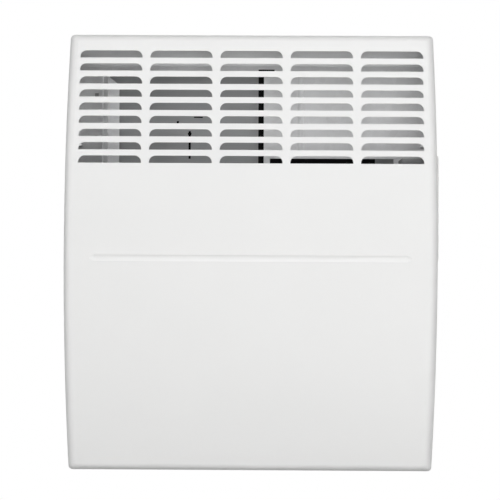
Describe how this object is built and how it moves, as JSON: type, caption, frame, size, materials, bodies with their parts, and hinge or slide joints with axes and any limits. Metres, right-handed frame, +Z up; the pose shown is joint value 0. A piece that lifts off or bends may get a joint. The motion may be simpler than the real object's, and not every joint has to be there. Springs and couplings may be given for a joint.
{
  "type": "panel convector heater",
  "caption": "Slim white wall-hung convector heater with a bowed front, slotted outlet grille at the top, side thermostat and switch, and a hook-on wall bracket with a release catch.",
  "frame": {"origin": "centre of the wall bracket's screw pattern, on the wall plane", "axes": "+X to the right seen from the room, +Y into the wall, +Z up; the front faces -Y"},
  "size_m": [0.3778, 0.098, 0.4422],
  "materials": {
    "casing_white": "white satin powder coat",
    "panel_steel": "light grey coated sheet steel",
    "bracket_steel": "grey coated sheet steel",
    "element_aluminium": "bare extruded aluminium",
    "rod_steel": "stainless sheath",
    "ceramic": "unglazed white ceramic",
    "terminal_brass": "plain",
    "screw_steel": "bright zinc plate",
    "panel_plastic": "fine satin white moulding",
    "knob_plastic": "semi-gloss light grey",
    "switch_black": "semi-gloss black",
    "rocker_grey": "semi-gloss dark grey",
    "pilot_amber": "clear amber",
    "device_black": "matte black phenolic",
    "gland_grey": "matte grey nylon",
    "catch_grey": "matte grey nylon",
    "block_white": "matte white nylon",
    "wire_brown": "heat-resistant insulation",
    "wire_blue": "heat-resistant insulation",
    "wire_green": "heat-resistant insulation"
  },
  "bodies": {
    "wall_bracket": {"wall_bracket": "bracket_steel", "catch_pin": "screw_steel"},
    "release_catch": {"release_catch": "catch_grey"},
    "thermostat_knob": {"thermostat_knob": "knob_plastic", "thermostat_shaft": "rod_steel"},
    "switch_rocker": {"switch_rocker": "rocker_grey"},
    "heater": {"front_casing": "casing_white", "rear_panel": "panel_steel", "air_deflector": "panel_steel", "left_duct": "panel_steel", "element_bracket": "panel_steel", "front_shield": "panel_steel", "element_diffuser": "element_aluminium", "element_rod": "rod_steel", "element_bushes": "ceramic", "element_terminals": "terminal_brass", "thermal_cutout": "device_black", "control_panel": "panel_plastic", "control_housing": "panel_steel", "thermostat_body": "device_black", "thermostat_screws": "screw_steel", "switch_body": "switch_black", "switch_pivot": "screw_steel", "pilot_lens": "pilot_amber", "terminal_block": "block_white", "terminal_screws": "terminal_brass", "cable_gland": "gland_grey", "gland_nut": "gland_grey", "earth_stud": "terminal_brass", "earth_nut": "terminal_brass", "live_wire": "wire_brown", "switch_wire": "wire_brown", "cutout_wire": "wire_brown", "element_wire": "wire_brown", "neutral_wire": "wire_blue", "earth_wire": "wire_green", "wire_clips": "block_white", "casing_screws": "screw_steel", "duct_rivets": "screw_steel"}
  },
  "joints": [
    {"name": "heater_lift", "type": "slide", "parent": "wall_bracket", "child": "heater", "axis": [0, 0, 1], "range_m": [0, 0.012]},
    {"name": "catch_pivot", "type": "hinge", "parent": "wall_bracket", "child": "release_catch", "pos_m": [0, -0.012, -0.15], "axis": [1, 0, 0], "range_deg": [0, 11]},
    {"name": "knob_turn", "type": "hinge", "parent": "heater", "child": "thermostat_knob", "pos_m": [0.18, -0.056, 0.066], "axis": [-1, 0, 0], "range_deg": [0, 270]},
    {"name": "rocker_tilt", "type": "hinge", "parent": "heater", "child": "switch_rocker", "pos_m": [0.176, -0.056, 0.014], "axis": [0, -1, 0], "range_deg": [0, 18]}
  ],
  "couplings": [
    {"joint": "catch_pivot", "follows": "heater_lift", "rad_per_m": 15.5}
  ]
}
